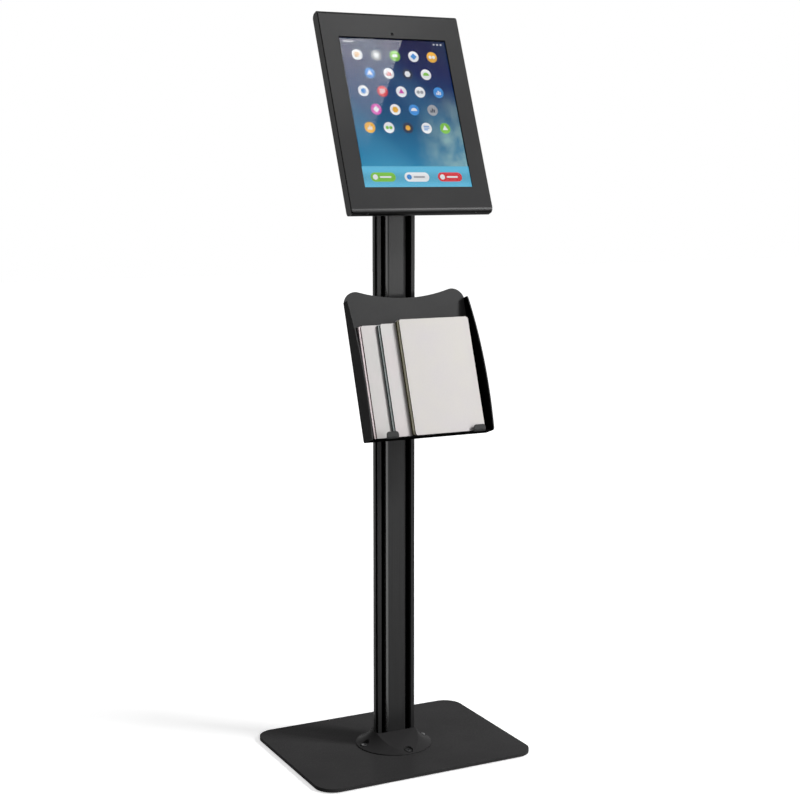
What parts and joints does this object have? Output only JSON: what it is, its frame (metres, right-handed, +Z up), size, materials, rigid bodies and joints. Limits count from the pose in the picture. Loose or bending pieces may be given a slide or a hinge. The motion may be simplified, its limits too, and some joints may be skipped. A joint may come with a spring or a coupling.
{
  "type": "tablet kiosk floor stand",
  "caption": "Black floor stand that locks a tablet in a tilting steel case on a slotted column, with a height-adjustable brochure tray and a flat rectangular base.",
  "frame": {"origin": "on the floor under the column's axis, on the underside of the middle pad", "axes": "+Z up along the column, -Y to the front, where the screen faces, +X to the viewer's right"},
  "size_m": [0.305, 0.2295, 0.9509],
  "materials": {
    "case_coat": "fine satin powder coat",
    "base_coat": "smooth semi-gloss powder coat",
    "column_black": "black anodised, satin",
    "tray_coat": "fine satin powder coat",
    "zinc_steel": "zinc plated",
    "black_screw": "black oxide",
    "foot_rubber": "matte",
    "pad_rubber": "matte cellular",
    "washer_plastic": "matte",
    "tablet_metal": "dark satin",
    "tablet_glass": "polished",
    "display": "lit picture",
    "lens": "polished",
    "paper_rose": "coated, rose spine",
    "paper_teal": "coated, teal spine",
    "paper_olive": "coated, olive spine"
  },
  "bodies": {
    "stand": {"base_plate": "base_coat", "base_feet": "foot_rubber", "base_collar": "base_coat", "collar_screws": "black_screw", "column": "column_black", "column_bolts": "zinc_steel", "tilt_yoke": "case_coat", "yoke_screws": "zinc_steel", "tilt_bolt": "zinc_steel", "tilt_nut": "zinc_steel", "friction_washers": "washer_plastic"},
    "head": {"head_plate": "case_coat", "head_screws": "zinc_steel", "rear_shell": "case_coat", "cover_hinge_pins": "zinc_steel", "back_pads": "pad_rubber", "edge_pads": "pad_rubber", "tablet_body": "tablet_metal", "tablet_display": "display", "tablet_glass": "tablet_glass", "tablet_camera": "lens"},
    "cover": {"front_cover": "case_coat", "cover_screws": "black_screw", "cover_nuts": "zinc_steel"},
    "power_button": {"power_key": "tablet_metal"},
    "volume_button": {"volume_key": "tablet_metal"},
    "tray_unit": {"tray": "tray_coat", "tray_bracket": "tray_coat", "tray_screws": "zinc_steel", "clamp_screws": "zinc_steel", "slot_nuts": "zinc_steel"},
    "rear_booklet": {"brochure_rear": "paper_rose"},
    "middle_booklet": {"brochure_middle": "paper_teal"},
    "front_booklet": {"brochure_front": "paper_olive"}
  },
  "joints": [
    {"name": "head_tilt", "type": "hinge", "parent": "stand", "child": "head", "pos_m": [0, 0.0075, 0.843], "axis": [1, 0, 0], "range_deg": [-38, 22]},
    {"name": "cover_open", "type": "hinge", "parent": "head", "child": "cover", "pos_m": [0, 0.02417, 0.94832], "axis": [-1, 0, 0], "range_deg": [0, 95]},
    {"name": "power_press", "type": "slide", "parent": "head", "child": "power_button", "axis": [0, -0.3746, -0.9272], "range_m": [0, 0.0004], "stiffness_N_per_m": 800},
    {"name": "volume_press", "type": "slide", "parent": "head", "child": "volume_button", "axis": [-1, 0, 0], "range_m": [0, 0.0004], "stiffness_N_per_m": 800},
    {"name": "tray_height", "type": "slide", "parent": "stand", "child": "tray_unit", "axis": [0, 0, 1], "range_m": [-0.28, 0.03]},
    {"name": "rear_lift", "type": "slide", "parent": "tray_unit", "child": "rear_booklet", "axis": [0, 0.3256, 0.9455], "range_m": [0, 0.07]},
    {"name": "middle_lift", "type": "slide", "parent": "tray_unit", "child": "middle_booklet", "axis": [0, 0.3256, 0.9455], "range_m": [0, 0.07]},
    {"name": "front_lift", "type": "slide", "parent": "tray_unit", "child": "front_booklet", "axis": [0, 0.3256, 0.9455], "range_m": [0, 0.07]}
  ]
}
